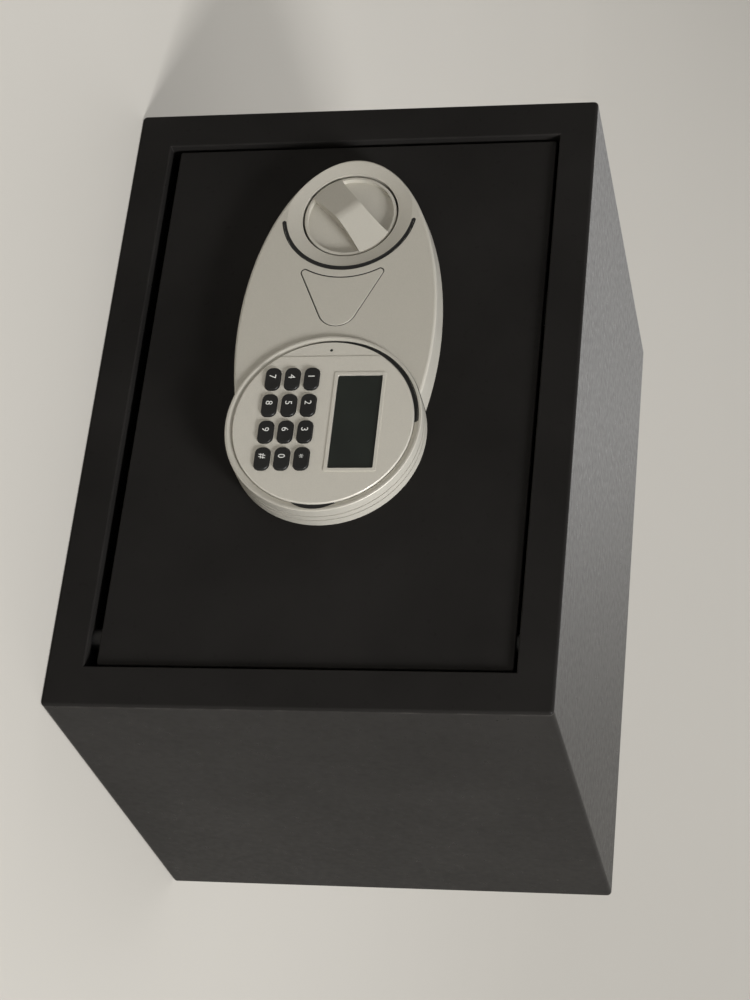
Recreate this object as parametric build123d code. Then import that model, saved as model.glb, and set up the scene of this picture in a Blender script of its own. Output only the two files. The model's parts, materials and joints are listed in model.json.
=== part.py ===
"""In-room hotel safe: a folded steel cabinet, an inset door on two pins, an electronic lock with a round
keypad and a turning knob, two round live bolts, an override lock cylinder and a plastic mechanism cover.

Frame: millimetres, +X to the right as a guest faces the door, +Y into the safe, +Z up. The origin is the
centre of the cabinet's base. Depths along Y are named *_Y; "front" is always the smaller Y.
"""
from math import asin, cos, degrees, radians, sin, sqrt
import os

from build123d import *

# ---------------------------------------------------------------- cabinet
CABINET_W = 350.0
CABINET_D = 250.0
CABINET_H = 250.0
SHEET = 1.8                    # body sheet steel
CORNER_R = 2.5                 # outside bend radius of the wrap
FRONT_EDGE_R = 1.6             # outside radius round the front frame
BORDER_SIDE = 21.0             # width of the front frame beside the door
BORDER_TOP = 19.0
BORDER_BOTTOM = 19.0
JAMB_DEPTH = 18.0              # return flange behind the front frame
ANCHOR_R = 5.0
ANCHOR_SPACING = 200.0
FLOOR_ANCHOR_Y = 30.0
WALL_ANCHOR_Z = 150.0
MAT_THICKNESS = 2.0
MAT_MARGIN = 1.0
MAT_HOLE_R = 9.0

# ---------------------------------------------------------------- door
DOOR_SHEET = 3.0
DOOR_RECESS = 3.0              # door face behind the frame face
GAP_LATCH = 1.8
GAP_HINGE = 2.0
GAP_TOP = 1.8
GAP_BOTTOM = 5.0
HINGE_EDGE = 16.0              # hinge axis to the door's hinge-side edge
HINGE_DEPTH = 4.0              # hinge axis behind the door plate
PIN_R = 3.0
RUNNING = 0.08                 # radial clearance of a turning or sliding fit
FREE = 0.3                     # clearance between pieces that pass each other
SEAT = 0.05                    # clearance between round pieces of one body

# ---------------------------------------------------------------- lock panel on the door
LOCK_Z = 126.0
PANEL_X = -30.0
PANEL_A = 105.0                # half length and half height of the oval
PANEL_B = 52.4
PANEL_H = 13.5                 # stands off the door face
PANEL_WALL = 2.0
PANEL_DRAFT = 4.0              # degrees
PANEL_EDGE_R = 1.5

KNOB_X = -100.0
KNOB_R = 24.5
KNOB_GAP = 1.0
KNOB_RIM_H = 11.3              # rim of the knob above the door face
KNOB_RIM = 1.6
KNOB_DISH = 2.8                # depth of the dish behind the rim
BAR_HALF = 7.3                 # half width of the finger bar at its middle
BAR_FLARE_R = 135.0
BAR_RISE = 5.8                 # crown of the bar in front of the rim
BAR_RIDGE_R = 12.0             # rounding of the crown between the two slopes
BAR_ANGLE = 40.0               # degrees above +X
KNOB_TURN = 80.0               # degrees from unlocked to locked
DISH_R = 33.0
DISH_DEPTH = 1.6
GROOVE_R = 34.9
GROOVE_W = 2.4
GROOVE_DEPTH = 1.4
GROOVE_HALF_ANGLE = 82.0

SHIELD_ARC_R = 39.5            # left side of the key cover, about the knob
SHIELD_HALF = 19.6
SHIELD_CORNER_R = 1.8
SHIELD_TIP_X = 58.3            # centre of the rounded tip, from the knob
SHIELD_TIP_R = 10.0
SHIELD_THICK = 1.6
SHIELD_GAP = 0.6
SHIELD_LEDGE = 2.2
CLIP_LEG = 3.0

# ---------------------------------------------------------------- round keypad
PAD_X = 25.5
PAD_R = 50.0
PAD_H = 15.0
PAD_FLOOR = 2.0
PAD_RIM = 0.9
PAD_BORE_R = 44.0
PAD_LEDGE_H = 13.0             # ledge that carries the face and ring, above the door face
PAD_BAND_H = (4.6, 8.6)        # heights of the two grooves round the side wall
PAD_BAND = 0.7
FACE_R = 46.0
FACE_THICK = 2.4
FACE_CHORD_X = -37.6
FACE_CHORD_DEPTH = 0.35
RING_DROP = 1.0                # inner edge of the trim ring below its outer edge
THUMB_ARC_R = 18.0             # outer side of the thumb notch at the face's right edge
THUMB_W = 2.4
THUMB_DEPTH = 6.0
SLOT_SHIFT = 1.5               # crescent gap beside the face, widest towards its upper left
SLOT_GROW = 0.2
SLOT_ANGLE = 130.0

LENS_W = 53.0
LENS_H = 23.0
LENS_Z = 16.7                  # centre of the display above the keypad's centre
LENS_INSET = 0.35
LENS_FLANGE = 1.2
BEZEL_W = 1.6
BEZEL_H = 0.35

KEY_NAMES = (("1", "2", "3", "star"), ("4", "5", "6", "0"), ("7", "8", "9", "hash"))
KEY_W = 12.7
KEY_H = 7.7
KEY_R = 3.2
KEY_PITCH_X = 15.2
KEY_PITCH_Z = 10.0
KEYS_X = -1.6                  # middle of the key block from the keypad's centre
KEYS_TOP_Z = -8.2
KEY_PROUD = 1.2
KEY_FLANGE = 0.6
KEY_FLANGE_T = 0.9
KEY_TRAVEL = 1.2
KEY_GAP = 0.25
DOME_R = 2.4
DOME_H = 1.0
KEY_MAT = 1.0
BOARD = 1.6
BOARD_R = 43.0
LED_X = -41.4
LED_R = 0.75

# ---------------------------------------------------------------- bolt work behind the door
BOLT_R = 9.0
BOLT_SPREAD = 62.0             # each bolt above or below the lock's centre line
BOLT_THROW = 14.0
BOLT_TIP_GAP = 5.5             # retracted tip to the jamb
BOLT_DEPTH = 23.0              # bolt axis behind the door plate
BOLT_CHAMFER = 1.5
CARRIAGE_GAP = 5.5             # carriage behind the door plate
CARRIAGE_T = 2.0
CARRIAGE_EDGE_X = -112.0       # bolt flange, retracted
CARRIAGE_W = 32.0
CARRIAGE_HALF_H = 76.0
CARRIAGE_FLANGE = 27.0
ARM_Z = (150.0, 172.0)
ARM_END_X = -14.0
LUG_W = 5.2
LUG_H = 6.0
GUIDE_X = -136.0
GUIDE_HALF = 13.0
GUIDE_FOOT = 14.0
SLOT_PIN_R = 3.0
GUIDE_PINS = ((-104.0, LOCK_Z + 48.0), (-104.0, LOCK_Z - 48.0), (-38.0, 161.0))
SHAFT_R = 4.0
BUSH_R = 6.5
BUSH_FLANGE_R = 9.0
BUSH_FLANGE = 1.4
CRANK_T = 2.0
CRANK_PIN_R = 2.5
CRANK_SLACK = 0.55             # slot wider than its pin on each side
CLIP_T = 0.8

SOLENOID_X = -60.0
SOLENOID_W = 26.0
SOLENOID_H = 28.0
SOLENOID_DEPTH = 12.6
PLUNGER_R = 2.5
PLUNGER_TRAVEL = 6.0
PLUNGER_LIFT = 1.2             # tip above the lug when drawn in
PLUNGER_LENGTH = 24.0
COLLAR_R = 4.0
COLLAR_T = 1.0
SPRING_WIRE = 0.3
SPRING_R = 3.5
SPRING_TURNS = 4

CYLINDER_X = -52.0
CYLINDER_R = 8.5
CYLINDER_NUT_R = 12.5
PLUG_R = 5.5
CYLINDER_LENGTH = 33.0
CAM_LENGTH = 20.0
CAM_W = 9.0
CAM_T = 1.6

# ---------------------------------------------------------------- mechanism cover and electronics
COVER_REAR_Y = -60.0
COVER_X = (-142.0, 118.0)
COVER_Z = (36.0, 218.0)
COVER_WALL = 2.0
COVER_R = 4.0
COVER_BOSS_R = 4.5
COVER_BOSS_INSET = 8.5
SCREW_R = 1.6
SCREW_HEAD_R = 3.4
SCREW_HEAD = 2.2

CELL_R = 7.1
CELL_L = 50.0
CELL_COUNT = 4
CELL_X = 66.0                  # middle of the battery compartment
CELL_Z = 104.0
TRAY_WALL = 1.5
TRAY_LEDGE = 1.0               # rim that the lid rests on
CONTACT_T = 0.5
LID_GAP = 0.3
CONTROL_X = (40.0, 102.0)
CONTROL_Z = (166.0, 204.0)
CONTROL_Y = -70.0
RESET_X = 88.0
RESET_Z = 186.0
RESET_R = 3.5
RESET_PROUD = 1.0
RESET_FLANGE = 1.4
RESET_TRAVEL = 1.5
CABLE_R = 2.0
CABLE_HOLE_R = 8.0

# ---------------------------------------------------------------- places worked out from those sizes
FRONT_Y = -CABINET_D / 2
BACK_Y = CABINET_D / 2
OPEN_X = CABINET_W / 2 - BORDER_SIDE
OPEN_Z = (BORDER_BOTTOM, CABINET_H - BORDER_TOP)
DOOR_X = (-OPEN_X + GAP_LATCH, OPEN_X - GAP_HINGE)
DOOR_Z = (OPEN_Z[0] + GAP_BOTTOM, OPEN_Z[1] - GAP_TOP)
DOOR_Y = FRONT_Y + DOOR_RECESS
DOOR_BACK_Y = DOOR_Y + DOOR_SHEET
HINGE_X = DOOR_X[1] - HINGE_EDGE
HINGE_Y = DOOR_BACK_Y + HINGE_DEPTH
STOP_Y = DOOR_BACK_Y + FREE
PANEL_Y = DOOR_Y - PANEL_H
KNOB_RIM_Y = DOOR_Y - KNOB_RIM_H
KNOB_BACK_Y = DOOR_Y - FREE
PAD_Y = DOOR_Y - PAD_H
LEDGE_Y = DOOR_Y - PAD_LEDGE_H
FACE_Y = LEDGE_Y - FACE_THICK
KEY_FRONT_Y = FACE_Y - KEY_PROUD
KEY_FLANGE_Y = LEDGE_Y + KEY_GAP
DOME_Y = KEY_FLANGE_Y + KEY_FLANGE_T + KEY_TRAVEL + KEY_GAP
PAD_BOARD_Y = DOME_Y + DOME_H + KEY_MAT
CARRIAGE_Y = DOOR_BACK_Y + CARRIAGE_GAP
BOLT_Y = DOOR_BACK_Y + BOLT_DEPTH
BOLT_TIP_X = -OPEN_X + BOLT_TIP_GAP
CRANK_Y = DOOR_BACK_Y + BUSH_FLANGE + FREE
CRANK_R = BOLT_THROW / 2 / sin(radians(KNOB_TURN / 2))
LUG_X = SOLENOID_X + BOLT_THROW / 2
PLUNGER_TIP_Z = ARM_Z[1] + LUG_H + PLUNGER_LIFT
SOLENOID_Z = PLUNGER_TIP_Z + 6.8
PLUNGER_Y = CARRIAGE_Y + CARRIAGE_T / 2
CYLINDER_Y = PANEL_Y + SHIELD_THICK + CLIP_LEG + 1.6
CELL_PITCH = 2 * CELL_R + 0.6
TRAY_HALF_W = CELL_L / 2 + CONTACT_T + 2 * SEAT + TRAY_LEDGE
TRAY_HALF_H = CELL_COUNT * CELL_PITCH / 2 + TRAY_LEDGE
COVER_INNER_Y = COVER_REAR_Y - COVER_WALL
TRAY_Y = COVER_INNER_Y - 2 * CELL_R - 1.2
PANEL_SCREWS = (
    (KNOB_X + 22, LOCK_Z + 34), (KNOB_X + 22, LOCK_Z - 34),
    (PANEL_X + 10, LOCK_Z + 42), (PANEL_X + 10, LOCK_Z - 42),
    *((PAD_X + 38 * cos(radians(a)), LOCK_Z + 38 * sin(radians(a))) for a in (90, 210, 330)),
)
BOARD_SCREWS = ((PAD_X - 36.5, LOCK_Z), (PAD_X + 36.5, LOCK_Z))


# ---------------------------------------------------------------- helpers
def facing(y, x=0.0, z=0.0):
    """A plane parallel to the door: its x is +X, its y is +Z, and it looks out of the safe."""
    return Plane(origin=(x, y, z), x_dir=(1, 0, 0), z_dir=(0, -1, 0))


def slab(sketch, front_y, back_y, x=0.0, z=0.0):
    """A sketch drawn facing the door, as a solid between two depths."""
    return extrude(facing(back_y, x, z) * sketch, amount=back_y - front_y)


def rod(radius, front_y, back_y, x, z):
    """A round bar along Y."""
    return slab(Circle(radius), front_y, back_y, x, z)


def block(x, y, z):
    """A box from three (low, high) pairs."""
    size = [high - low for low, high in (x, y, z)]
    middle = [(high + low) / 2 for low, high in (x, y, z)]
    return Pos(*middle) * Box(*size)


def upright(radius, x, y, z):
    """A round bar along Z, from z[0] to z[1]."""
    return Pos(x, y, z[0]) * Cylinder(radius, z[1] - z[0], align=(Align.CENTER, Align.CENTER, Align.MIN))


def crossways(radius, x, y, z):
    """A round bar along X, from x[0] to x[1]."""
    bar = Cylinder(radius, x[1] - x[0], align=(Align.CENTER, Align.CENTER, Align.MIN))
    return Pos(x[0], y, z) * Rot(0, 90, 0) * bar


def front_edges(solid):
    """The edges round the face that looks out of the safe."""
    return solid.faces().sort_by(Axis.Y)[0].edges()


def screw(x, z, head_back_y, head, tip_y):
    """A pan-head screw along Y, with its head on the inside."""
    head_front_y = head_back_y - head
    cap = rod(SCREW_HEAD_R, head_front_y, head_back_y, x, z)
    cap = fillet(cap.faces().sort_by(Axis.Y)[-1].edges(), head * 0.4)
    recess = slab(Rectangle(3.4, 0.8) + Rectangle(0.8, 3.4), head_back_y - head * 0.5, head_back_y, x, z)
    return cap + rod(SCREW_R, tip_y, head_front_y, x, z) - recess


def solid_group(solids):
    """Separate solids that share one node."""
    return Compound(children=list(solids))


# ---------------------------------------------------------------- cabinet pieces
def anchor_holes_floor(radius):
    return [
        upright(radius, x, FLOOR_ANCHOR_Y, (-SHEET, 3 * SHEET + MAT_THICKNESS))
        for x in (-ANCHOR_SPACING / 2, ANCHOR_SPACING / 2)
    ]


def cabinet_wrap():
    """Top, sides and floor folded from one sheet, open at the front and the back."""
    half = CABINET_W / 2
    front = FRONT_Y + SHEET
    outer = block((-half, half), (front, BACK_Y), (0, CABINET_H))
    outer = fillet(outer.edges().filter_by(Axis.Y), CORNER_R)
    inner = block((-half + SHEET, half - SHEET), (front, BACK_Y), (SHEET, CABINET_H - SHEET))
    wrap = outer - inner
    for hole in anchor_holes_floor(ANCHOR_R):
        wrap -= hole
    return wrap


def front_frame():
    """The border round the door, with a return flange that makes the jamb."""
    half = CABINET_W / 2
    middle_z = (OPEN_Z[0] + OPEN_Z[1]) / 2
    opening = Rectangle(2 * OPEN_X, OPEN_Z[1] - OPEN_Z[0])
    plate = block((-half, half), (FRONT_Y, FRONT_Y + SHEET), (0, CABINET_H))
    plate = fillet(plate.edges().filter_by(Axis.Y), CORNER_R)
    plate = fillet(front_edges(plate), FRONT_EDGE_R)
    flange = slab(
        Rectangle(2 * (OPEN_X + SHEET), OPEN_Z[1] - OPEN_Z[0] + 2 * SHEET),
        FRONT_Y + SHEET / 2, FRONT_Y + JAMB_DEPTH, 0, middle_z)
    frame = plate + flange - slab(opening, FRONT_Y, FRONT_Y + JAMB_DEPTH, 0, middle_z)
    lip = [e for e in front_edges(frame) if abs(e.center().X) <= OPEN_X + 0.01
           and OPEN_Z[0] - 0.01 <= e.center().Z <= OPEN_Z[1] + 0.01]
    frame = fillet(lip, SHEET / 2)
    for z in ((OPEN_Z[0] - 2 * SHEET, OPEN_Z[0] + SHEET), (OPEN_Z[1] - SHEET, OPEN_Z[1] + 2 * SHEET)):
        frame -= upright(PIN_R + RUNNING, HINGE_X, HINGE_Y, z)
    return frame


def back_panel():
    """The rear sheet, welded inside the wrap, with the wall anchor holes."""
    half = CABINET_W / 2 - SHEET
    panel = block((-half, half), (BACK_Y - SHEET, BACK_Y), (SHEET, CABINET_H - SHEET))
    for x in (-ANCHOR_SPACING / 2, ANCHOR_SPACING / 2):
        panel -= rod(ANCHOR_R, BACK_Y - 2 * SHEET, BACK_Y + SHEET, x, WALL_ANCHOR_Z)
    return panel


def door_stops():
    """A strip on the latch jamb and a tab above the door, both just behind it when it is closed."""
    depth = (STOP_Y, STOP_Y + SHEET)
    strip = block((-OPEN_X, -OPEN_X + 5), depth, (LOCK_Z - 42, LOCK_Z + 42))
    tab = block((-60, -40), depth, (OPEN_Z[1] - 12, OPEN_Z[1]))
    return solid_group([strip, tab])


def floor_mat():
    """Thin felt mat on the floor, cut clear of the anchor holes."""
    half = CABINET_W / 2 - SHEET - MAT_MARGIN
    y = (FRONT_Y + JAMB_DEPTH + MAT_MARGIN, BACK_Y - SHEET - MAT_MARGIN)
    mat = block((-half, half), y, (SHEET, SHEET + MAT_THICKNESS))
    mat = fillet(mat.edges().filter_by(Axis.Z), 4 * MAT_MARGIN)
    for hole in anchor_holes_floor(MAT_HOLE_R):
        mat -= hole
    return mat


# ---------------------------------------------------------------- door and hinge pieces
def door_plate():
    width, height = DOOR_X[1] - DOOR_X[0], DOOR_Z[1] - DOOR_Z[0]
    x, z = sum(DOOR_X) / 2, sum(DOOR_Z) / 2
    plate = slab(RectangleRounded(width, height, 1.5), DOOR_Y, DOOR_BACK_Y, x, z)
    plate = fillet(front_edges(plate), 0.8)
    through = (DOOR_Y - DOOR_SHEET, DOOR_BACK_Y + DOOR_SHEET)
    plate -= rod(BUSH_R + SEAT, *through, KNOB_X, LOCK_Z)
    plate -= rod(CYLINDER_R + SEAT, *through, CYLINDER_X, LOCK_Z)
    plate -= rod(CABLE_HOLE_R, *through, PAD_X, LOCK_Z)
    for x, z in PANEL_SCREWS:
        plate -= rod(SCREW_R + FREE, *through, x, z)
    return plate


HINGE_BLOCK = 20.0


def hinge_ends():
    """The (low, high) Z of the bracket, and of its pin, at the bottom and at the top of the door."""
    bottom, top = DOOR_Z
    return (
        ((bottom, bottom + HINGE_BLOCK), (OPEN_Z[0] - SHEET - 0.3, bottom + HINGE_BLOCK - 4)),
        ((top - HINGE_BLOCK, top), (top - HINGE_BLOCK + 4, OPEN_Z[1] + SHEET + 0.3)),
    )


def hinge_brackets():
    """Two blocks welded behind the door's hinge edge, bored for the pins."""
    blocks = []
    for bracket_z, pin_z in hinge_ends():
        body = block((HINGE_X - 7, HINGE_X + 7), (DOOR_BACK_Y, HINGE_Y + 5), bracket_z)
        body = fillet(body.edges().filter_by(Axis.Z).sort_by(Axis.Y)[2:], 2.0)
        blocks.append(body - upright(PIN_R + SEAT, HINGE_X, HINGE_Y, pin_z))
    return solid_group(blocks)


def hinge_pins():
    return solid_group(upright(PIN_R, HINGE_X, HINGE_Y, pin_z) for _, pin_z in hinge_ends())


def hinge_spacers():
    """Nylon rings that carry the door on the frame's flanges."""
    rings = []
    for z in ((OPEN_Z[0] + SEAT, DOOR_Z[0] - SEAT), (DOOR_Z[1] + SEAT, OPEN_Z[1] - SEAT)):
        rings.append(upright(PIN_R * 1.9, HINGE_X, HINGE_Y, z) - upright(PIN_R + SEAT, HINGE_X, HINGE_Y, z))
    return solid_group(rings)


# ---------------------------------------------------------------- lock panel pieces
def shield(grow=0.0):
    """Outline of the key cover about the knob's centre: an arc, two sides and a rounded tip."""
    corner_x = SHIELD_ARC_R * cos(asin(SHIELD_HALF / SHIELD_ARC_R)) + SHIELD_CORNER_R
    corner_r = max(SHIELD_CORNER_R + grow, SHIELD_CORNER_R / 4)
    corner_z = SHIELD_HALF + SHIELD_CORNER_R + grow - corner_r
    rounds = [Pos(SHIELD_TIP_X, 0) * Circle(SHIELD_TIP_R + grow)]
    rounds += [Pos(corner_x, s * corner_z) * Circle(corner_r) for s in (-1, 1)]
    outline = make_hull([e for c in rounds for e in c.edges()])
    return outline - Circle(SHIELD_ARC_R - grow)


def groove_arc():
    """The crescent groove beside the knob."""
    inner_r = GROOVE_R - GROOVE_W / 2
    crescent = Circle(GROOVE_R) - Pos(-GROOVE_W / 2, 0) * Circle(inner_r)
    reach = 2 * GROOVE_R
    keep_x = GROOVE_R * cos(radians(GROOVE_HALF_ANGLE))
    return crescent & Pos(keep_x + reach / 2, 0) * Rectangle(reach, 2 * reach)


def dish_cone():
    """The shallow funnel from the panel's face down to the knob."""
    bore_r = KNOB_R + KNOB_GAP
    mouth = facing(PANEL_Y, KNOB_X, LOCK_Z) * Circle(DISH_R)
    throat = facing(PANEL_Y + DISH_DEPTH, KNOB_X, LOCK_Z) * Circle(bore_r)
    return loft([throat, mouth])


def lock_escutcheon():
    """Oval moulding over the knob and the override lock, cut away for the round keypad."""
    base = facing(DOOR_Y, PANEL_X, LOCK_Z)
    shell = extrude(base * Ellipse(PANEL_A, PANEL_B), amount=PANEL_H, taper=PANEL_DRAFT)
    shell = fillet(front_edges(shell), PANEL_EDGE_R)
    skin_y = PANEL_Y + PANEL_WALL
    lean = PANEL_WALL + PANEL_EDGE_R
    shell -= slab(Ellipse(PANEL_A - lean, PANEL_B - lean), skin_y, DOOR_Y, PANEL_X, LOCK_Z)
    bore_r = KNOB_R + KNOB_GAP
    shell += rod(bore_r + PANEL_WALL, PANEL_Y + PANEL_WALL / 2, DOOR_Y, KNOB_X, LOCK_Z)
    pocket_y = PANEL_Y + SHIELD_THICK + SEAT
    shell += slab(shield(SHIELD_GAP + PANEL_WALL), PANEL_Y + 1, pocket_y + PANEL_WALL, KNOB_X, LOCK_Z)
    shell += slab(groove_arc(), PANEL_Y + GROOVE_DEPTH, PANEL_Y + GROOVE_DEPTH + PANEL_WALL, KNOB_X, LOCK_Z)
    for x, z in PANEL_SCREWS[:4]:
        shell += rod(2 * SCREW_R + 0.8, skin_y - PANEL_WALL / 2, DOOR_Y, x, z)
        shell -= rod(SCREW_R + SEAT, skin_y + PANEL_WALL / 2, DOOR_Y, x, z)
    shell -= rod(bore_r, PANEL_Y - 1, DOOR_Y, KNOB_X, LOCK_Z)
    shell -= dish_cone()
    shell -= slab(groove_arc(), PANEL_Y - 1, PANEL_Y + GROOVE_DEPTH, KNOB_X, LOCK_Z)
    shell -= slab(shield(SHIELD_GAP), PANEL_Y - 1, pocket_y, KNOB_X, LOCK_Z)
    shell -= slab(shield(-SHIELD_LEDGE), PANEL_Y - 1, DOOR_Y, KNOB_X, LOCK_Z)
    return shell - rod(PAD_R + FREE, PANEL_Y - 1, DOOR_Y, PAD_X, LOCK_Z)


def key_cover():
    """Snap-in cover over the override lock, with two clip legs."""
    plate = slab(shield(), PANEL_Y, PANEL_Y + SHIELD_THICK, KNOB_X, LOCK_Z)
    plate = fillet(front_edges(plate), 0.3)
    inner = shield(-SHIELD_LEDGE - FREE)
    band = inner - offset(inner, amount=-1.2, kind=Kind.INTERSECTION)
    legs = band & (Pos(SHIELD_TIP_X - 4, 0) * Rectangle(8, 60))
    leg_y = (PANEL_Y + SHIELD_THICK, PANEL_Y + SHIELD_THICK + CLIP_LEG)
    return plate + slab(legs, *leg_y, KNOB_X, LOCK_Z)


def bar_outline():
    """The finger bar: a strip across the knob whose sides curve in at the middle."""
    strip = Rectangle(2 * KNOB_R, 2 * KNOB_R)
    waist = BAR_HALF + BAR_FLARE_R
    sides = [Pos(0, s * waist) * Circle(BAR_FLARE_R) for s in (-1, 1)]
    return strip - sides[0] - sides[1]


def knob():
    """Round knob: a shallow dish inside a rim, crossed by a finger bar with two slopes and a rounded crown."""
    body = rod(KNOB_R, KNOB_RIM_Y, KNOB_BACK_Y, 0, 0)
    body = fillet(front_edges(body), 0.6)
    floor_y = KNOB_RIM_Y + KNOB_DISH
    body -= slab(Circle(KNOB_R - KNOB_RIM), KNOB_RIM_Y - 1, floor_y)
    crown_y = KNOB_RIM_Y - BAR_RISE
    ridge = Pos(0, BAR_RIDGE_R) * Circle(BAR_RIDGE_R)
    foot = Pos(0, BAR_RISE + KNOB_RIM_H) * Rectangle(2 * KNOB_R, 2 * KNOB_RIM_H)
    gable = make_hull([*ridge.edges(), *foot.edges()])
    across = Plane(origin=(0, crown_y, -KNOB_R), x_dir=(1, 0, 0), z_dir=(0, 0, 1))
    arch = extrude(across * gable, amount=2 * KNOB_R)
    inside_rim = Circle(KNOB_R - KNOB_RIM / 2) & bar_outline()
    body += slab(inside_rim, crown_y - 1, floor_y + 1) & arch
    body -= rod(SHAFT_R + SEAT, KNOB_BACK_Y - 5, KNOB_BACK_Y, 0, 0)
    return Pos(KNOB_X, 0, LOCK_Z) * Rot(0, -BAR_ANGLE, 0) * body


def knob_bush():
    """Nylon bearing for the knob shaft, flanged behind the door plate."""
    sleeve = rod(BUSH_R, DOOR_Y, DOOR_BACK_Y, KNOB_X, LOCK_Z)
    flange = rod(BUSH_FLANGE_R, DOOR_BACK_Y, DOOR_BACK_Y + BUSH_FLANGE, KNOB_X, LOCK_Z)
    bore = rod(SHAFT_R + RUNNING, DOOR_Y, DOOR_BACK_Y + BUSH_FLANGE, KNOB_X, LOCK_Z)
    return sleeve + flange - bore


def knob_shaft():
    return rod(SHAFT_R, KNOB_BACK_Y - 5 + SEAT, CRANK_Y + CRANK_T + CLIP_T + SEAT, KNOB_X, LOCK_Z)


def crank_pin_place():
    """The crank pin with the bolts drawn back, half the knob's turn past the top."""
    turn = radians(KNOB_TURN / 2)
    return KNOB_X + CRANK_R * sin(turn), LOCK_Z + CRANK_R * cos(turn)


def crank_plate():
    """Crank on the knob shaft, with the pin that drives the bolt carriage."""
    pin_x, pin_z = crank_pin_place()
    ends = [Circle(2 * SHAFT_R), Pos(pin_x - KNOB_X, pin_z - LOCK_Z) * Circle(2 * CRANK_PIN_R)]
    arm = make_hull([e for c in ends for e in c.edges()])
    plate = slab(arm, CRANK_Y, CRANK_Y + CRANK_T, KNOB_X, LOCK_Z)
    plate -= rod(SHAFT_R + SEAT, CRANK_Y, CRANK_Y + CRANK_T, KNOB_X, LOCK_Z)
    return plate + rod(CRANK_PIN_R, CRANK_Y + CRANK_T, CARRIAGE_Y + CARRIAGE_T + 1, pin_x, pin_z)


def shaft_clip():
    ring = rod(1.6 * SHAFT_R, CRANK_Y + CRANK_T, CRANK_Y + CRANK_T + CLIP_T, KNOB_X, LOCK_Z)
    return ring - rod(SHAFT_R + SEAT, CRANK_Y, CRANK_Y + 3 * CRANK_T, KNOB_X, LOCK_Z)


def panel_screws():
    """Seven screws from inside the door into the escutcheon and the keypad housing."""
    return solid_group(
        screw(x, z, DOOR_BACK_Y + SCREW_HEAD, SCREW_HEAD, DOOR_Y - 3.0) for x, z in PANEL_SCREWS)


# ---------------------------------------------------------------- override lock
def cylinder_body():
    """Barrel of the override lock, held in the door by its nut."""
    rear = CYLINDER_Y + CYLINDER_LENGTH
    body = rod(CYLINDER_R, CYLINDER_Y, rear, CYLINDER_X, LOCK_Z)
    body = fillet(front_edges(body), 0.6)
    collar = rod(CYLINDER_R + 1.5, CYLINDER_Y + 5, DOOR_Y, CYLINDER_X, LOCK_Z)
    return body + collar - rod(PLUG_R + RUNNING, CYLINDER_Y - 1, rear, CYLINDER_X, LOCK_Z)


def cylinder_nut():
    y = (DOOR_BACK_Y, DOOR_BACK_Y + 3.5)
    nut = slab(RegularPolygon(CYLINDER_NUT_R, 6), *y, CYLINDER_X, LOCK_Z)
    return nut - rod(CYLINDER_R + SEAT, *y, CYLINDER_X, LOCK_Z)


def cylinder_plug():
    """The turning plug: keyway in front, square tail behind."""
    rear = CYLINDER_Y + CYLINDER_LENGTH
    plug = rod(PLUG_R, CYLINDER_Y + 0.4, rear, CYLINDER_X, LOCK_Z)
    plug += slab(Rectangle(5, 5), rear, rear + CAM_T + 1.5, CYLINDER_X, LOCK_Z)
    keyway = Rectangle(1.8, 8.0) + Pos(0.9, 1.5) * Rectangle(1.4, 1.6)
    return plug - slab(keyway, CYLINDER_Y - 1, CYLINDER_Y + 20, CYLINDER_X, LOCK_Z)


def cylinder_cam():
    """Lever on the plug's tail that frees the bolt work with the override key."""
    rear = CYLINDER_Y + CYLINDER_LENGTH + FREE
    ends = [Circle(CAM_W / 2), Pos(0, -CAM_LENGTH) * Circle(CAM_W / 3)]
    lever = make_hull([e for c in ends for e in c.edges()])
    lever -= Rectangle(5 + 2 * SEAT, 5 + 2 * SEAT)
    return slab(lever, rear, rear + CAM_T, CYLINDER_X, LOCK_Z)


# ---------------------------------------------------------------- round keypad
def keypad_housing():
    """Round cup screwed to the door: floor, stepped wall, ledge and thin rim."""
    ledge_y = LEDGE_Y
    cup = rod(PAD_R, PAD_Y, DOOR_Y, PAD_X, LOCK_Z)
    cup = fillet(front_edges(cup), PAD_RIM * 0.6)
    cup -= rod(PAD_R - PAD_RIM, PAD_Y - 1, ledge_y, PAD_X, LOCK_Z)
    cup -= rod(PAD_BORE_R, PAD_Y - 1, DOOR_Y - PAD_FLOOR, PAD_X, LOCK_Z)
    for height in PAD_BAND_H:
        y = DOOR_Y - height
        ring = Circle(PAD_R + 1) - Circle(PAD_R - PAD_BAND)
        cup -= slab(ring, y - PAD_BAND, y, PAD_X, LOCK_Z)
    for x, z in PANEL_SCREWS[4:]:
        cup += rod(2 * SCREW_R, DOOR_Y - PAD_FLOOR - 2, DOOR_Y - PAD_FLOOR / 2, x, z)
        cup -= rod(SCREW_R + SEAT, DOOR_Y - PAD_FLOOR - 1.2, DOOR_Y, x, z)
    for x, z in BOARD_SCREWS:
        cup += rod(2 * SCREW_R, PAD_BOARD_Y + BOARD, DOOR_Y - PAD_FLOOR / 2, x, z)
        cup -= rod(SCREW_R + SEAT, PAD_BOARD_Y + BOARD, DOOR_Y - 0.6, x, z)
    cup -= thumb_notch()
    return cup - rod(CABLE_HOLE_R, PAD_Y, DOOR_Y, PAD_X, LOCK_Z)


def thumb_notch():
    """Crescent pocket at the face's right edge, down into the housing's ledge."""
    inner_r = FACE_R + FREE
    outside = Pos(inner_r + THUMB_W - THUMB_ARC_R, 0) * Circle(THUMB_ARC_R)
    return slab(outside - Circle(inner_r), PAD_Y - 1, PAD_Y + THUMB_DEPTH, PAD_X, LOCK_Z)


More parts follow.
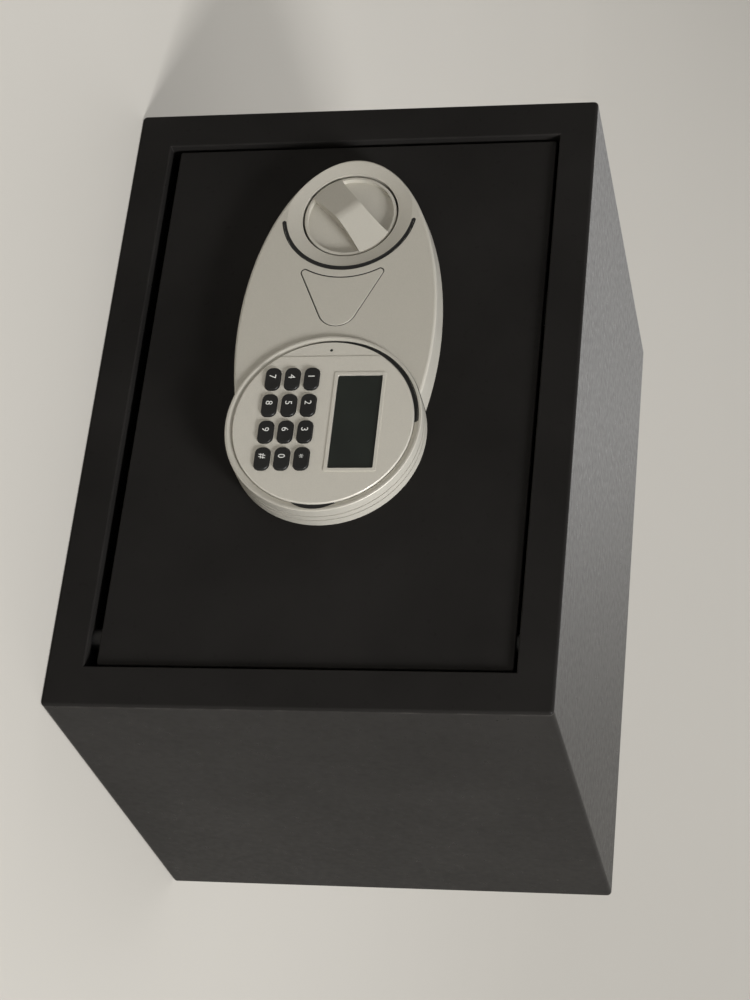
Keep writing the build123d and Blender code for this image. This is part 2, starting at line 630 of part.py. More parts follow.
def keypad_trim_ring():
    """Ring round the keypad's face, sloping inwards, with a crescent gap beside the face and the thumb notch."""
    outer_r, inner_r = PAD_R - PAD_RIM - SEAT, FACE_R + FREE
    ring = rod(outer_r, PAD_Y, LEDGE_Y, PAD_X, LOCK_Z)
    funnel = loft([
        facing(PAD_Y + RING_DROP, PAD_X, LOCK_Z) * Circle(inner_r),
        facing(PAD_Y, PAD_X, LOCK_Z) * Circle(outer_r - 0.3),
    ])
    ring = ring - rod(inner_r, PAD_Y - 1, LEDGE_Y, PAD_X, LOCK_Z) - funnel
    angle = radians(SLOT_ANGLE)
    wide = Pos(SLOT_SHIFT * cos(angle), SLOT_SHIFT * sin(angle)) * Circle(inner_r + SLOT_GROW)
    left = Pos(-PAD_R, 0) * Rectangle(2 * PAD_R, 2 * PAD_R)
    ring -= slab(wide & left, PAD_Y - 1, LEDGE_Y, PAD_X, LOCK_Z)
    return ring - thumb_notch()


def lens_outline(grow=0.0):
    return Pos(0, LENS_Z) * RectangleRounded(LENS_W + 2 * grow, LENS_H + 2 * grow, 0.8)


def key_places():
    """(name, x, z) of each key from the keypad's centre."""
    for row, names in enumerate(KEY_NAMES):
        for column, name in enumerate(names):
            yield name, KEYS_X + (column - 1.5) * KEY_PITCH_X, KEYS_TOP_Z - row * KEY_PITCH_Z


def keypad_face():
    """Flat face with the display window, twelve key holes and the lamp hole."""
    face = rod(FACE_R, FACE_Y, LEDGE_Y, PAD_X, LOCK_Z)
    face = fillet(front_edges(face), 0.5)
    beyond = Pos(FACE_CHORD_X - FACE_R / 2, 0) * Rectangle(FACE_R, 2 * FACE_R)
    face -= slab(Circle(FACE_R + 1) & beyond, FACE_Y - 1, FACE_Y + FACE_CHORD_DEPTH, PAD_X, LOCK_Z)
    bezel = lens_outline(BEZEL_W) - lens_outline()
    face += slab(bezel, FACE_Y - BEZEL_H, FACE_Y + 0.5, PAD_X, LOCK_Z)
    face -= slab(lens_outline(), FACE_Y - 1, LEDGE_Y, PAD_X, LOCK_Z)
    for _, x, z in key_places():
        hole = Pos(x, z) * RectangleRounded(KEY_W + 2 * KEY_GAP, KEY_H + 2 * KEY_GAP, KEY_R + KEY_GAP)
        face -= slab(hole, FACE_Y - 1, LEDGE_Y, PAD_X, LOCK_Z)
    return face - rod(LED_R + SEAT, FACE_Y - 1, LEDGE_Y, PAD_X + LED_X, LOCK_Z)


def display_lens():
    """Dark window, with a flange held behind the face."""
    window = slab(lens_outline(-KEY_GAP), FACE_Y + LENS_INSET, LEDGE_Y + SEAT, PAD_X, LOCK_Z)
    flange = slab(lens_outline(LENS_FLANGE), LEDGE_Y + SEAT, LEDGE_Y + 0.7, PAD_X, LOCK_Z)
    return window + flange


def display_module():
    return slab(lens_outline(LENS_FLANGE / 2), LEDGE_Y + 0.7 + SEAT, PAD_BOARD_Y, PAD_X, LOCK_Z)


def status_led():
    return rod(LED_R, FACE_Y + 0.4, PAD_BOARD_Y, PAD_X + LED_X, LOCK_Z)


def key_cap(x, z):
    """One key: a crowned cap with a flange behind the face."""
    cap = slab(Pos(x, z) * RectangleRounded(KEY_W, KEY_H, KEY_R), KEY_FRONT_Y, KEY_FLANGE_Y, PAD_X, LOCK_Z)
    cap = fillet(front_edges(cap), 0.7)
    rim = RectangleRounded(KEY_W + 2 * KEY_FLANGE, KEY_H + 2 * KEY_FLANGE, KEY_R)
    return cap + slab(Pos(x, z) * rim, KEY_FLANGE_Y, KEY_FLANGE_Y + KEY_FLANGE_T, PAD_X, LOCK_Z)


def key_mat():
    """Silicone sheet on the board, with a dome behind each key."""
    middle_z = KEYS_TOP_Z - KEY_PITCH_Z
    sheet = Pos(KEYS_X, middle_z) * RectangleRounded(4 * KEY_PITCH_X - 2, 3 * KEY_PITCH_Z - 1, 8)
    mat = slab(sheet & Circle(BOARD_R - 1), DOME_Y + DOME_H, PAD_BOARD_Y, PAD_X, LOCK_Z)
    for _, x, z in key_places():
        mat += slab(Pos(x, z) * Circle(DOME_R), DOME_Y, DOME_Y + DOME_H, PAD_X, LOCK_Z)
    return mat


def keypad_board():
    board = rod(BOARD_R, PAD_BOARD_Y, PAD_BOARD_Y + BOARD, PAD_X, LOCK_Z)
    for x, z in BOARD_SCREWS:
        board -= rod(SCREW_R + 2 * SEAT, PAD_BOARD_Y, PAD_BOARD_Y + BOARD, x, z)
    return board


def board_screws():
    """Two short screws that hold the keypad board to its posts."""
    head_r, head = 2.2, 1.2
    shank_y = (PAD_BOARD_Y, PAD_BOARD_Y + BOARD + 1.6)
    return solid_group(
        rod(head_r, PAD_BOARD_Y - head, PAD_BOARD_Y, x, z) + rod(SCREW_R, *shank_y, x, z)
        for x, z in BOARD_SCREWS)


# ---------------------------------------------------------------- bolt work
def bolt_heights():
    return (LOCK_Z - BOLT_SPREAD, LOCK_Z + BOLT_SPREAD)


def lock_bolts():
    """Two round bolts, each riveted through the carriage flange by its own tail."""
    bolts = []
    for z in bolt_heights():
        bolt = crossways(BOLT_R, (BOLT_TIP_X, CARRIAGE_EDGE_X), BOLT_Y, z)
        bolt = chamfer(bolt.faces().sort_by(Axis.X)[0].edges(), BOLT_CHAMFER)
        tail = crossways(BOLT_R / 3, (CARRIAGE_EDGE_X, CARRIAGE_EDGE_X + SHEET + 0.1), BOLT_Y, z)
        head = crossways(BOLT_R / 2, (CARRIAGE_EDGE_X + SHEET + 0.1, CARRIAGE_EDGE_X + 2 * SHEET), BOLT_Y, z)
        bolts.append(bolt + tail + head)
    return solid_group(bolts)


def carriage_slot(x, z):
    """A slot that lets the carriage travel past a guide pin."""
    half = SLOT_PIN_R + FREE
    ends = [Pos(x + dx, z) * Circle(half) for dx in (0, BOLT_THROW + 0.4)]
    return make_hull([e for c in ends for e in c.edges()])


def bolt_carriage():
    """Sliding plate that carries both bolts, driven by the crank pin."""
    y = (CARRIAGE_Y, CARRIAGE_Y + CARRIAGE_T)
    left, right = CARRIAGE_EDGE_X, CARRIAGE_EDGE_X + CARRIAGE_W
    z = (LOCK_Z - CARRIAGE_HALF_H, LOCK_Z + CARRIAGE_HALF_H)
    plate = block((left, right), y, z) + block((left, ARM_END_X), y, ARM_Z)
    plate += block((left, left + SHEET), (y[0], y[0] + CARRIAGE_FLANGE), z)
    plate += block((LUG_X - LUG_W / 2, LUG_X + LUG_W / 2), y, (ARM_Z[1], ARM_Z[1] + LUG_H))
    through = (y[0] - 1, y[1] + 1)
    for x, height in GUIDE_PINS:
        plate -= slab(carriage_slot(x - 0.2, height), *through)
    pin_x, pin_z = crank_pin_place()
    drive_w = 2 * (CRANK_PIN_R + CRANK_SLACK)
    lift = CRANK_R - (pin_z - LOCK_Z)
    drive = RectangleRounded(drive_w, drive_w + lift + 1, CRANK_PIN_R)
    plate -= slab(drive, *through, pin_x, pin_z + lift / 2)
    for height in bolt_heights():
        plate -= crossways(BOLT_R / 3 + SEAT, (left - 1, left + 2 * SHEET), BOLT_Y, height)
    return plate


def bolt_guides():
    """Two angle brackets on the door that the bolts slide through."""
    brackets = []
    for z in bolt_heights():
        span = (z - GUIDE_HALF, z + GUIDE_HALF)
        wall = block((GUIDE_X - SHEET, GUIDE_X), (DOOR_BACK_Y, BOLT_Y + GUIDE_HALF), span)
        foot = block((GUIDE_X, GUIDE_X + GUIDE_FOOT), (DOOR_BACK_Y, DOOR_BACK_Y + SHEET), span)
        hole = crossways(BOLT_R + RUNNING, (GUIDE_X - 2 * SHEET, GUIDE_X + SHEET), BOLT_Y, z)
        brackets.append(wall + foot - hole)
    return solid_group(brackets)


def carriage_guides():
    """Three shouldered pins on the door that hold the carriage and let it slide."""
    pins = []
    rear = CARRIAGE_Y + CARRIAGE_T
    for x, z in GUIDE_PINS:
        spacer = rod(SLOT_PIN_R + 2, DOOR_BACK_Y, CARRIAGE_Y - FREE, x, z)
        stem = rod(SLOT_PIN_R, CARRIAGE_Y - FREE, rear + FREE, x, z)
        head = rod(SLOT_PIN_R + 2, rear + FREE, rear + FREE + 1.5, x, z)
        pins.append(spacer + stem + head)
    return solid_group(pins)


# ---------------------------------------------------------------- solenoid
def solenoid_body():
    """Coil in a steel frame on the door, above the carriage's lug."""
    half = SOLENOID_W / 2
    z = (SOLENOID_Z, SOLENOID_Z + SOLENOID_H)
    y = (DOOR_BACK_Y, DOOR_BACK_Y + SOLENOID_DEPTH)
    frame = block((SOLENOID_X - half, SOLENOID_X + half), y, z)
    frame = fillet(frame.edges().filter_by(Axis.Z), 1.0)
    return frame - upright(PLUNGER_R + RUNNING, SOLENOID_X, PLUNGER_Y, (SOLENOID_Z - 1, SOLENOID_Z + 20))


def solenoid_plunger():
    """Blocking pin with a spring collar, drawn in."""
    tip = PLUNGER_TIP_Z
    pin = upright(PLUNGER_R, SOLENOID_X, PLUNGER_Y, (tip, tip + PLUNGER_LENGTH))
    return pin + upright(COLLAR_R, SOLENOID_X, PLUNGER_Y, (tip + 1, tip + 1 + COLLAR_T))


def plunger_spring():
    """Compression spring between the plunger's collar and the solenoid."""
    low = PLUNGER_TIP_Z + 1 + COLLAR_T + SPRING_WIRE + 0.1
    height = SOLENOID_Z - SPRING_WIRE - 0.1 - low
    path = Helix(pitch=height / SPRING_TURNS, height=height, radius=SPRING_R)
    start = Plane(origin=path @ 0, z_dir=path % 0)
    coil = sweep(start * Circle(SPRING_WIRE), path=path, is_frenet=True)
    return Pos(SOLENOID_X, PLUNGER_Y, low) * coil


# ---------------------------------------------------------------- cover, batteries and control board
def cover_boss_places():
    x = (COVER_X[0] + COVER_BOSS_INSET, COVER_X[1] - COVER_BOSS_INSET)
    z = (COVER_Z[0] + COVER_BOSS_INSET, COVER_Z[1] - COVER_BOSS_INSET)
    return [(a, b) for a in x for b in z]


def mechanism_cover():
    """Plastic box behind the door over the bolt work, open for the bolts, batteries and reset button."""
    width, height = COVER_X[1] - COVER_X[0], COVER_Z[1] - COVER_Z[0]
    x, z = sum(COVER_X) / 2, sum(COVER_Z) / 2
    outer = slab(RectangleRounded(width, height, COVER_R), DOOR_BACK_Y, COVER_REAR_Y, x, z)
    outer = fillet(outer.faces().sort_by(Axis.Y)[-1].edges(), COVER_WALL * 0.9)
    inner = RectangleRounded(width - 2 * COVER_WALL, height - 2 * COVER_WALL, COVER_R - COVER_WALL)
    cover = outer - slab(inner, DOOR_BACK_Y, COVER_INNER_Y, x, z)
    for bx, bz in cover_boss_places():
        cover += rod(COVER_BOSS_R, DOOR_BACK_Y, COVER_INNER_Y, bx, bz)
        cover -= rod(SCREW_R + SEAT, DOOR_BACK_Y, COVER_REAR_Y, bx, bz)
        cover -= rod(SCREW_HEAD_R + FREE, COVER_REAR_Y - 0.8, COVER_REAR_Y + 1, bx, bz)
    for bz in bolt_heights():
        cover -= crossways(BOLT_R + 0.6, (COVER_X[0] - 1, COVER_X[0] + 2 * COVER_WALL), BOLT_Y, bz)
    cover -= slab(lid_outline(LID_GAP), COVER_INNER_Y, COVER_REAR_Y, CELL_X, CELL_Z)
    return cover - rod(RESET_R + KEY_GAP, COVER_INNER_Y, COVER_REAR_Y, RESET_X, RESET_Z)


def cover_screws():
    """Four long screws in the corners of the mechanism cover."""
    head_rear = COVER_REAR_Y - 0.8 + SCREW_HEAD
    return solid_group(
        screw(x, z, head_rear, SCREW_HEAD, DOOR_BACK_Y + FREE) for x, z in cover_boss_places())


def lid_outline(grow=0.0):
    return RectangleRounded(2 * (TRAY_HALF_W + grow), 2 * (TRAY_HALF_H + grow), 2.5)


def battery_tray():
    """Open box behind the cover's window for the cells."""
    outer = Rectangle(2 * (TRAY_HALF_W + TRAY_WALL), 2 * (TRAY_HALF_H + TRAY_WALL))
    inner = Rectangle(2 * (TRAY_HALF_W - TRAY_LEDGE), 2 * (TRAY_HALF_H - TRAY_LEDGE))
    box = slab(outer, TRAY_Y - TRAY_WALL, COVER_INNER_Y, CELL_X, CELL_Z)
    return box - slab(inner, TRAY_Y, COVER_INNER_Y, CELL_X, CELL_Z)


def cell_heights():
    return [CELL_Z + (i - (CELL_COUNT - 1) / 2) * (2 * CELL_R + 0.2) for i in range(CELL_COUNT)]


def aa_cells():
    """Four AA cells side by side, alternate ones turned round."""
    cells = []
    y = TRAY_Y + CELL_R + FREE
    half = CELL_L / 2
    for i, z in enumerate(cell_heights()):
        can = crossways(CELL_R, (CELL_X - half, CELL_X + half - 1.4), y, z)
        nub = crossways(CELL_R / 3, (CELL_X + half - 1.4, CELL_X + half), y, z)
        cell = can + nub
        if i % 2:
            cell = mirror(cell, about=Plane.YZ.offset(CELL_X))
        cells.append(cell)
    return solid_group(cells)


def battery_contacts():
    """Nickel plates at both ends of the cells."""
    reach = CELL_L / 2 + SEAT
    y = TRAY_Y + CELL_R + FREE
    plates = []
    for side in (-1, 1):
        near, far = sorted((CELL_X + side * reach, CELL_X + side * (reach + CONTACT_T)))
        for z in cell_heights():
            plates.append(block((near, far), (y - 5, y + 5), (z - 5, z + 5)))
    return solid_group(plates)


def battery_lid():
    """Snap-off lid flush with the cover, with a finger notch and grip ribs."""
    lid = slab(lid_outline(), COVER_INNER_Y, COVER_REAR_Y, CELL_X, CELL_Z)
    notch = Pos(0, TRAY_HALF_H) * Circle(7)
    lid -= slab(notch, COVER_REAR_Y - 1.2, COVER_REAR_Y, CELL_X, CELL_Z)
    for i in range(4):
        rib = Pos(0, TRAY_HALF_H - 12 - 3 * i) * RectangleRounded(22, 1.2, 0.5)
        lid += slab(rib, COVER_REAR_Y - 0.2, COVER_REAR_Y + 0.6, CELL_X, CELL_Z)
    return lid


def control_board():
    """Controller on posts under the cover, with the reset switch and the cable socket."""
    board = block(CONTROL_X, (CONTROL_Y, CONTROL_Y + BOARD), CONTROL_Z)
    for x in (CONTROL_X[0] + 4, CONTROL_X[1] - 4):
        board += rod(2.5, CONTROL_Y + BOARD / 2, COVER_INNER_Y, x, CONTROL_Z[0] + 4)
        board += rod(2.5, CONTROL_Y + BOARD / 2, COVER_INNER_Y, x, CONTROL_Z[1] - 4)
    flange_y = COVER_INNER_Y - KEY_GAP - RESET_FLANGE
    switch_y = flange_y - RESET_TRAVEL - KEY_GAP
    board += block((RESET_X - 3, RESET_X + 3), (CONTROL_Y + BOARD / 2, switch_y), (RESET_Z - 3, RESET_Z + 3))
    socket_x, _, socket_z = cable_points()[-1]
    return board + block(
        (socket_x - 6, socket_x + 6), (CONTROL_Y - 5, CONTROL_Y + BOARD / 2), (socket_z - 3, socket_z + 3))


def reset_button():
    """Red push button through the cover, with a flange that keeps it in."""
    stem = rod(RESET_R, COVER_INNER_Y - KEY_GAP, COVER_REAR_Y + RESET_PROUD, RESET_X, RESET_Z)
    stem = fillet(stem.faces().sort_by(Axis.Y)[-1].edges(), 0.6)
    flange_y = (COVER_INNER_Y - KEY_GAP - RESET_FLANGE, COVER_INNER_Y - KEY_GAP)
    return stem + rod(RESET_R + 1.4, *flange_y, RESET_X, RESET_Z)


def cable_points():
    """Route of the cable from the keypad board, through the door, to the control board."""
    return (
        (PAD_X, PAD_BOARD_Y + BOARD, LOCK_Z),
        (PAD_X, DOOR_BACK_Y + 15, LOCK_Z),
        (PAD_X + 26, CONTROL_Y - 26, CONTROL_Z[0] + 14),
        (PAD_X + 26, CONTROL_Y - 5, CONTROL_Z[0] + 14),
    )


def keypad_cable():
    """Sheathed cable between the two boards, with arcs as large as its runs allow."""
    points = [Vector(*p) for p in cable_points()]
    radii = []
    for before, here, after in zip(points, points[1:], points[2:]):
        turn = (here - before).get_angle(after - here)
        shorter = min((here - before).length, (after - here).length)
        radii.append(0.45 * shorter / (sin(radians(turn / 2)) / cos(radians(turn / 2))))
    path = FilletPolyline(*points, radius=radii)
    section = Plane(origin=path @ 0, z_dir=path % 0) * Circle(CABLE_R)
    return sweep(section, path=path)


# ---------------------------------------------------------------- all nodes
def nodes():
    """Every piece by its node name."""
    pieces = (
        cabinet_wrap, front_frame, back_panel, door_stops, floor_mat,
        door_plate, hinge_brackets, hinge_pins, hinge_spacers,
        lock_escutcheon, key_cover, knob, knob_bush, knob_shaft, crank_plate, shaft_clip, panel_screws,
        cylinder_body, cylinder_nut, cylinder_plug, cylinder_cam,
        keypad_housing, keypad_trim_ring, keypad_face, display_lens, display_module, status_led,
        key_mat, keypad_board, board_screws,
        lock_bolts, bolt_carriage, bolt_guides, carriage_guides,
        solenoid_body, solenoid_plunger, plunger_spring,
        mechanism_cover, cover_screws, battery_tray, aa_cells, battery_contacts, battery_lid,
        control_board, reset_button, keypad_cable,
    )
    for make in pieces:
        yield make.__name__, make()
    for name, x, z in key_places():
        yield f"key_{name}", key_cap(x, z)


os.makedirs("parts", exist_ok=True)
for node_name, shape in nodes():
    export_step(shape, f"parts/{node_name}.step")
print("crank ratio", round(BOLT_THROW / 1000 / radians(KNOB_TURN), 6), "m per radian")
print("hinge axis", HINGE_X, HINGE_Y)
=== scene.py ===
"""Studio scene of an in-room safe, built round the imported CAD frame.

Lengths are in metres, in the CAD's frame: +X to the right facing the door, +Y into the safe, +Z up.
"""
import json
import math

import bmesh
import bpy
from mathutils import Matrix, Vector, noise


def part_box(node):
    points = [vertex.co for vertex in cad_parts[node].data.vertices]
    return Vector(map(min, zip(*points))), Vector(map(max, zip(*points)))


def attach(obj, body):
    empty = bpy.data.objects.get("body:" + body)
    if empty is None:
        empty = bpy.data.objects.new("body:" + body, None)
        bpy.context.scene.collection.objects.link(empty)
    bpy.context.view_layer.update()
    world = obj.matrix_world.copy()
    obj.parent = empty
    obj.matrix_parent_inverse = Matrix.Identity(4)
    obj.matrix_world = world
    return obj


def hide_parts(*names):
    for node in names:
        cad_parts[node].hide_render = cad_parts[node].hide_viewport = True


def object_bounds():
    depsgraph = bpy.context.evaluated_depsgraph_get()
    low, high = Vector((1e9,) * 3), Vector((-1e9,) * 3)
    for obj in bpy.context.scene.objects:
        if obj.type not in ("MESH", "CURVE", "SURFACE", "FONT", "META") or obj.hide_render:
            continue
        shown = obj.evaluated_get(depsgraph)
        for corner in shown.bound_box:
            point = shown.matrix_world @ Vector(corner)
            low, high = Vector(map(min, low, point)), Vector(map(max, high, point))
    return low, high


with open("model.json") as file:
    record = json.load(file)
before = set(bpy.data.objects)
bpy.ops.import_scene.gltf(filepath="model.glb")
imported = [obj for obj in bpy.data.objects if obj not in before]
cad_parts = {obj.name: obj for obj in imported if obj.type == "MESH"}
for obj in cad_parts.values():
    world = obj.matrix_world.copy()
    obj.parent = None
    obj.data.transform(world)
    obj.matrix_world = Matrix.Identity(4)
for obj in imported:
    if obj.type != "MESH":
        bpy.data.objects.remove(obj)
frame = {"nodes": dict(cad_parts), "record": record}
CAD_BOX = [list(corner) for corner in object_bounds()]
NODES = frame["nodes"]
RECORD = frame["record"]
SLOT_OF = {part["node"]: part["material_slot"] for part in RECORD["subparts"]}
MM = 0.001


# ---------------------------------------------------------------- node helpers
class Shader:
    """A Principled material whose colour, roughness and bump come from noise in the object's own metres."""

    def __init__(self, name, **uniform):
        self.material = bpy.data.materials.new(name)
        self.material.use_nodes = True
        self.tree = self.material.node_tree
        self.tree.nodes.clear()
        output = self.add("ShaderNodeOutputMaterial")
        self.shader = self.add("ShaderNodeBsdfPrincipled")
        self.link(self.shader.outputs["BSDF"], output.inputs["Surface"])
        for socket, value in uniform.items():
            self.shader.inputs[socket.replace("_", " ")].default_value = value
        self.place = self.add("ShaderNodeTexCoord").outputs["Object"]

    def add(self, kind, **settings):
        node = self.tree.nodes.new(kind)
        for key, value in settings.items():
            setattr(node, key, value)
        return node

    def link(self, out, into):
        self.tree.links.new(out, into)

    def stretched(self, stretch):
        """The object's coordinates scaled along each axis, for grain with a direction."""
        mapping = self.add("ShaderNodeMapping")
        mapping.inputs["Scale"].default_value = stretch
        self.link(self.place, mapping.inputs["Vector"])
        return mapping.outputs["Vector"]

    def noise(self, scale, detail=3.0, stretch=None):
        node = self.add("ShaderNodeTexNoise")
        node.inputs["Scale"].default_value = scale
        node.inputs["Detail"].default_value = detail
        self.link(self.stretched(stretch) if stretch else self.place, node.inputs["Vector"])
        return node.outputs["Fac"]

    def cells(self, scale):
        node = self.add("ShaderNodeTexVoronoi")
        node.inputs["Scale"].default_value = scale
        self.link(self.place, node.inputs["Vector"])
        return node.outputs["Distance"]

    def spread(self, value, low, high, source=(0.3, 0.7)):
        node = self.add("ShaderNodeMapRange")
        for socket, number in zip(("From Min", "From Max", "To Min", "To Max"), (*source, low, high)):
            node.inputs[socket].default_value = number
        self.link(value, node.inputs["Value"])
        return node.outputs["Result"]

    def maths(self, operation, a, b):
        node = self.add("ShaderNodeMath", operation=operation)
        for socket, value in zip(node.inputs, (a, b)):
            if isinstance(value, (int, float)):
                socket.default_value = value
            else:
                self.link(value, socket)
        return node.outputs["Value"]

    def ramp(self, value, *stops):
        """Colours at positions along a value."""
        node = self.add("ShaderNodeValToRGB")
        ramp = node.color_ramp
        while len(ramp.elements) < len(stops):
            ramp.elements.new(0.5)
        for element, (position, colour) in zip(ramp.elements, stops):
            element.position = position
            element.color = (*colour, 1.0)
        self.link(value, node.inputs["Fac"])
        return node.outputs["Color"]

    def blend(self, factor, a, b):
        """Colour a where the factor is 0 and b where it is 1; b is a plain colour."""
        node = self.add("ShaderNodeMix", data_type="RGBA")
        self.link(factor, node.inputs["Factor"])
        self.link(a, node.inputs["A"])
        node.inputs["B"].default_value = (*b, 1.0)
        return node.outputs["Result"]

    def edges(self, radius, amount, patch_scale):
        """A mask that is high on convex edges, broken up by noise: partly edge wear, partly painted
        highlight.
        """
        bevel = self.add("ShaderNodeBevel", samples=6)
        bevel.inputs["Radius"].default_value = radius
        geometry = self.add("ShaderNodeNewGeometry")
        dot = self.add("ShaderNodeVectorMath", operation="DOT_PRODUCT")
        self.link(bevel.outputs["Normal"], dot.inputs[0])
        self.link(geometry.outputs["Normal"], dot.inputs[1])
        edge = self.spread(dot.outputs["Value"], 1.0, 0.0, (0.88, 0.985))
        patch = self.spread(self.noise(patch_scale, 4.0), 0.0, amount, (0.42, 0.64))
        return self.maths("MULTIPLY", edge, patch)

    def colour(self, out):
        self.link(out, self.shader.inputs["Base Color"])

    def roughness(self, out):
        self.link(out, self.shader.inputs["Roughness"])

    def bump(self, *layers):
        """Each layer is (height, strength, depth in metres); they add up."""
        last = None
        for height, strength, depth in layers:
            node = self.add("ShaderNodeBump")
            node.inputs["Strength"].default_value = strength
            node.inputs["Distance"].default_value = depth
            self.link(height, node.inputs["Height"])
            if last:
                self.link(last, node.inputs["Normal"])
            last = node.outputs["Normal"]
        self.link(last, self.shader.inputs["Normal"])


# ---------------------------------------------------------------- the record's finishes
def powder_coat():
    """Fine-textured black powder coat: small pebbles, faint cloudiness, paler edges that are partly wear and
    partly painted highlight.
    """
    dark, light, wear_and_highlight_colour = (0.0115, 0.0108, 0.0102), (0.0165, 0.0155, 0.0147), (0.060, 0.056, 0.053)
    s = Shader("black_powder_coat", IOR=1.5, Specular_IOR_Level=0.04)
    tone = s.ramp(s.noise(14.0, 5.0), (0.3, dark), (0.7, light))
    # paler convex edges: partly wear, partly painted highlight
    wear_and_highlight_mask = s.edges(radius=0.0014, amount=0.7, patch_scale=90.0)
    s.colour(s.blend(wear_and_highlight_mask, tone, wear_and_highlight_colour))
    s.roughness(s.spread(s.noise(260.0), 0.27, 0.38))
    s.bump((s.noise(1150.0, 2.0), 0.18, 0.00003), (s.noise(4200.0, 2.0), 0.18, 0.000012))
    return s.material


def silver_paint(name, dark, light):
    """Satin silver paint on moulded plastic, with a fine flake, a touch of orange peel, and paler edges that
    are partly wear and partly painted highlight.
    """
    s = Shader(name, Metallic=0.25, IOR=1.5)
    flake = s.ramp(s.noise(5200.0, 1.0), (0.3, dark), (0.7, light))
    # paler convex edges: partly wear, partly painted highlight
    wear_and_highlight_mask = s.edges(radius=0.0006, amount=0.4, patch_scale=160.0)
    wear_and_highlight_colour = tuple(1.18 * channel for channel in light)
    s.colour(s.blend(wear_and_highlight_mask, flake, wear_and_highlight_colour))
    s.roughness(s.spread(s.noise(120.0, 4.0), 0.40, 0.50))
    s.bump((s.noise(620.0, 2.0), 0.10, 0.00004), (s.noise(5200.0, 1.0), 0.12, 0.00001))
    return s.material


def moulded(name, dark, light, rough, grain, depth, **uniform):
    """A moulded plastic or rubber with a spark-textured surface and paler edges that are partly soft wear and
    partly painted highlight.
    """
    s = Shader(name, IOR=1.49, **uniform)
    tone = s.ramp(s.noise(60.0, 4.0), (0.3, dark), (0.7, light))
    # paler convex edges: partly wear, partly painted highlight
    wear_and_highlight_mask = s.edges(radius=0.0005, amount=0.7, patch_scale=300.0)
    wear_and_highlight_colour = tuple(min(1.0, channel * 1.5 + 0.012) for channel in light)
    s.colour(s.blend(wear_and_highlight_mask, tone, wear_and_highlight_colour))
    s.roughness(s.spread(s.noise(grain * 0.4), *rough))
    s.bump((s.noise(grain, 2.0), 0.3, depth))
    return s.material


def display_window():
    """Dark acrylic with a faint green cast and a few wiping marks."""
    dark, light = (0.0060, 0.0080, 0.0065), (0.0095, 0.0125, 0.0100)
    s = Shader("dark_acrylic", IOR=1.49, Specular_IOR_Level=0.25)
    s.colour(s.ramp(s.noise(45.0, 3.0), (0.3, dark), (0.7, light)))
    s.roughness(s.spread(s.noise(70.0, 5.0, (1.0, 1.0, 6.0)), 0.10, 0.22))
    s.bump((s.noise(400.0, 2.0), 0.03, 0.00002))
    return s.material


def plated(name, dark, light, rough, brush, depth):
    """Plated steel: cloudy passivation and fine marks along the length."""
    s = Shader(name, Metallic=1.0)
    s.colour(s.ramp(s.noise(95.0, 5.0), (0.3, dark), (0.7, light)))
    s.roughness(s.spread(s.noise(600.0, 3.0, brush), *rough))
    s.bump((s.noise(1400.0, 2.0, brush), 0.15, depth))
    return s.material


def circuit_board():
    """Green solder mask over a network of raised tracks."""
    mask, track = (0.010, 0.075, 0.034), (0.020, 0.145, 0.066)
    s = Shader("green_board", IOR=1.5, Coat_Weight=0.3)
    tracks = s.spread(s.cells(520.0), 0.0, 1.0, (0.16, 0.34))
    s.colour(s.ramp(tracks, (0.1, mask), (0.9, track)))
    s.roughness(s.spread(s.noise(400.0), 0.28, 0.42))
    s.bump((tracks, 0.4, 0.00003))
    return s.material


def felt():
    """Needled felt: crossing fibres, flecked greys and a soft sheen."""
    dark, light = (0.030, 0.030, 0.033), (0.105, 0.105, 0.112)
    s = Shader("grey_felt", Sheen_Weight=0.35, Sheen_Roughness=0.6)
    fibres = s.maths("MAXIMUM", s.noise(900.0, 5.0, (1.0, 6.0, 1.0)), s.noise(900.0, 5.0, (6.0, 1.0, 1.0)))
    s.colour(s.ramp(fibres, (0.35, dark), (0.75, light)))
    s.roughness(s.spread(s.noise(500.0), 0.86, 0.98))
    s.bump((fibres, 0.6, 0.0003))
    return s.material


def cell_film():
    """A plain printed film with a pale band near one end of the cell."""
    film, band = (0.075, 0.078, 0.086), (0.420, 0.420, 0.410)
    s = Shader("cell_jacket", Metallic=0.6, IOR=1.5)
    axis = s.add("ShaderNodeSeparateXYZ")
    s.link(s.place, axis.inputs["Vector"])
    low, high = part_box("aa_cells")
    along = s.spread(axis.outputs["X"], 0.0, 1.0, (low.x, high.x))
    s.colour(s.ramp(along, (0.0, film), (0.70, film), (0.71, band), (0.78, band), (0.79, film)))
    s.roughness(s.spread(s.noise(300.0, 4.0), 0.24, 0.38))
    s.bump((s.noise(220.0, 2.0), 0.08, 0.00005))
    return s.material


def key_ink():
    """White pad-printed legend ink, slightly uneven."""
    dark, light = (0.60, 0.60, 0.58), (0.78, 0.78, 0.75)
    s = Shader("key_ink", IOR=1.45)
    s.colour(s.ramp(s.noise(3000.0, 3.0), (0.3, dark), (0.6, light)))
    s.roughness(s.spread(s.noise(1500.0), 0.45, 0.60))
    s.bump((s.noise(6000.0, 1.0), 0.2, 0.00001))
    return s.material


